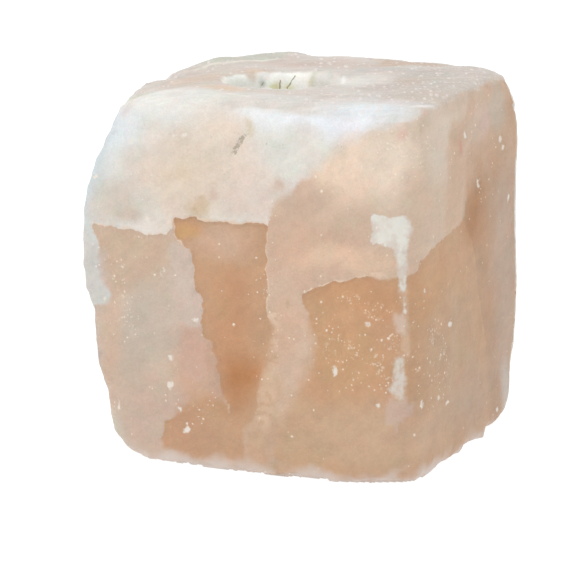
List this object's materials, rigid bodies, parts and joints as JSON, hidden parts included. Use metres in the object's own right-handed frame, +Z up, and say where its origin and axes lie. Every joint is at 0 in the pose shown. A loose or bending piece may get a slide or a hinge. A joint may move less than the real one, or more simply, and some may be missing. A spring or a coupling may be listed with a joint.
{
  "type": "rock salt candle block",
  "caption": "Roughly cubic hewn block of pink rock salt (halite), with a round hollow in its top for a small candle.",
  "frame": {"origin": "on the flat face the block rests on, under the middle of the block", "axes": "+Z up, -Y towards the broad front face, +X towards the right face"},
  "size_m": [0.1281, 0.1235, 0.1337],
  "materials": {
    "pink_salt": "satin, slightly translucent"
  },
  "bodies": {
    "root": {"salt_block": "pink_salt"}
  },
  "joints": []
}
